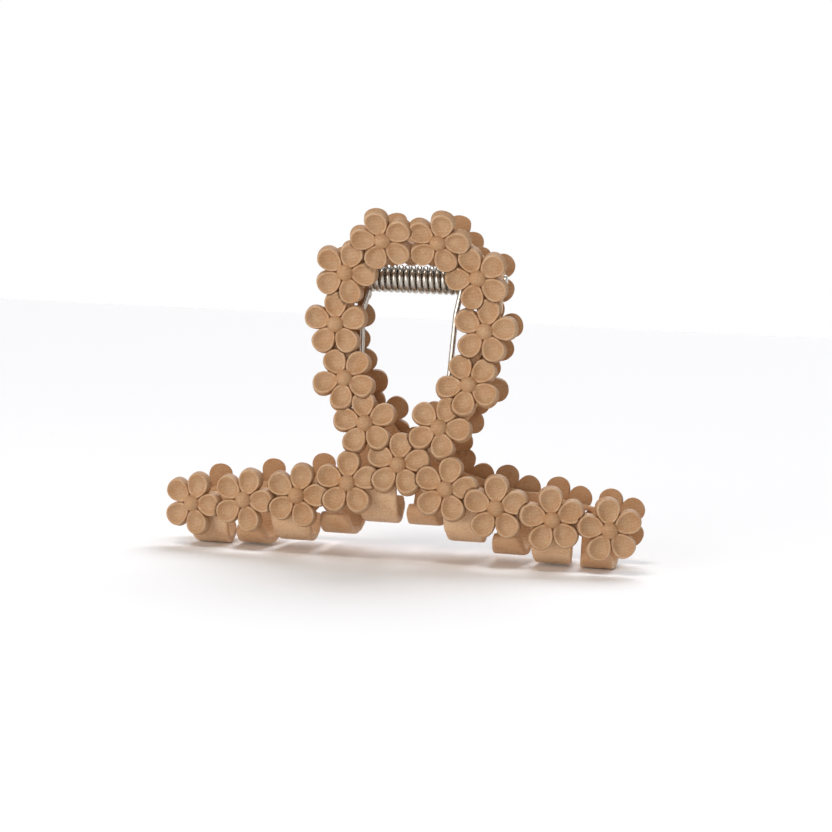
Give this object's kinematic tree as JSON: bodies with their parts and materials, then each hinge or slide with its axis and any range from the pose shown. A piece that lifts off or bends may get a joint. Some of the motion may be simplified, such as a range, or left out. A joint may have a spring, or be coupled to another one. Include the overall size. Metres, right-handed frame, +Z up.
{
  "type": "hair claw clip",
  "caption": "Spring-loaded claw clip for long hair: two ribbon-shaped jaws with curved interleaving teeth, covered with small five-petal flowers.",
  "frame": {"origin": "centre of the footprint, on the surface that the teeth stand on", "axes": "+X runs along the clip from one arm end to the other, -Y faces out of the front jaw, +Z goes up from the teeth to the handles; the hinge axis is parallel to X"},
  "size_m": [0.1106, 0.0314, 0.0789],
  "materials": {
    "jaw": "matte moulded plastic with a fine wood-like grain, light brown",
    "flower": "matte moulded plastic with a fine wood-like grain, light brown, paler on the rims",
    "steel": "drawn spring wire, bright"
  },
  "bodies": {
    "front_jaw": {"front_frame": "jaw", "hinge_pin": "steel", "spring": "steel", "front_flower_top_left": "flower", "front_flower_top_right": "flower", "front_flower_upper_left": "flower", "front_flower_upper_right": "flower", "front_flower_middle_left": "flower", "front_flower_middle_right": "flower", "front_flower_lower_left": "flower", "front_flower_lower_right": "flower", "front_flower_cross_left": "flower", "front_flower_cross_right": "flower", "front_flower_centre": "flower", "front_flower_arm_1_left": "flower", "front_flower_arm_1_right": "flower", "front_flower_arm_2_left": "flower", "front_flower_arm_2_right": "flower", "front_flower_arm_3_left": "flower", "front_flower_arm_3_right": "flower", "front_flower_arm_4_left": "flower", "front_flower_arm_4_right": "flower"},
    "back_jaw": {"back_frame": "jaw", "back_flower_top_left": "flower", "back_flower_top_right": "flower", "back_flower_upper_left": "flower", "back_flower_upper_right": "flower", "back_flower_middle_left": "flower", "back_flower_middle_right": "flower", "back_flower_lower_left": "flower", "back_flower_lower_right": "flower", "back_flower_cross_left": "flower", "back_flower_cross_right": "flower", "back_flower_centre": "flower", "back_flower_arm_1_left": "flower", "back_flower_arm_1_right": "flower", "back_flower_arm_2_left": "flower", "back_flower_arm_2_right": "flower", "back_flower_arm_3_left": "flower", "back_flower_arm_3_right": "flower", "back_flower_arm_4_left": "flower", "back_flower_arm_4_right": "flower"}
  },
  "joints": [
    {"name": "jaw_hinge", "type": "hinge", "parent": "front_jaw", "child": "back_jaw", "pos_m": [0, 0, 0.0635], "axis": [1, 0, 0], "range_deg": [0, 40], "stiffness_Nm_per_rad": 0.2, "springref_deg": -22.92, "deforming": ["spring"]}
  ]
}
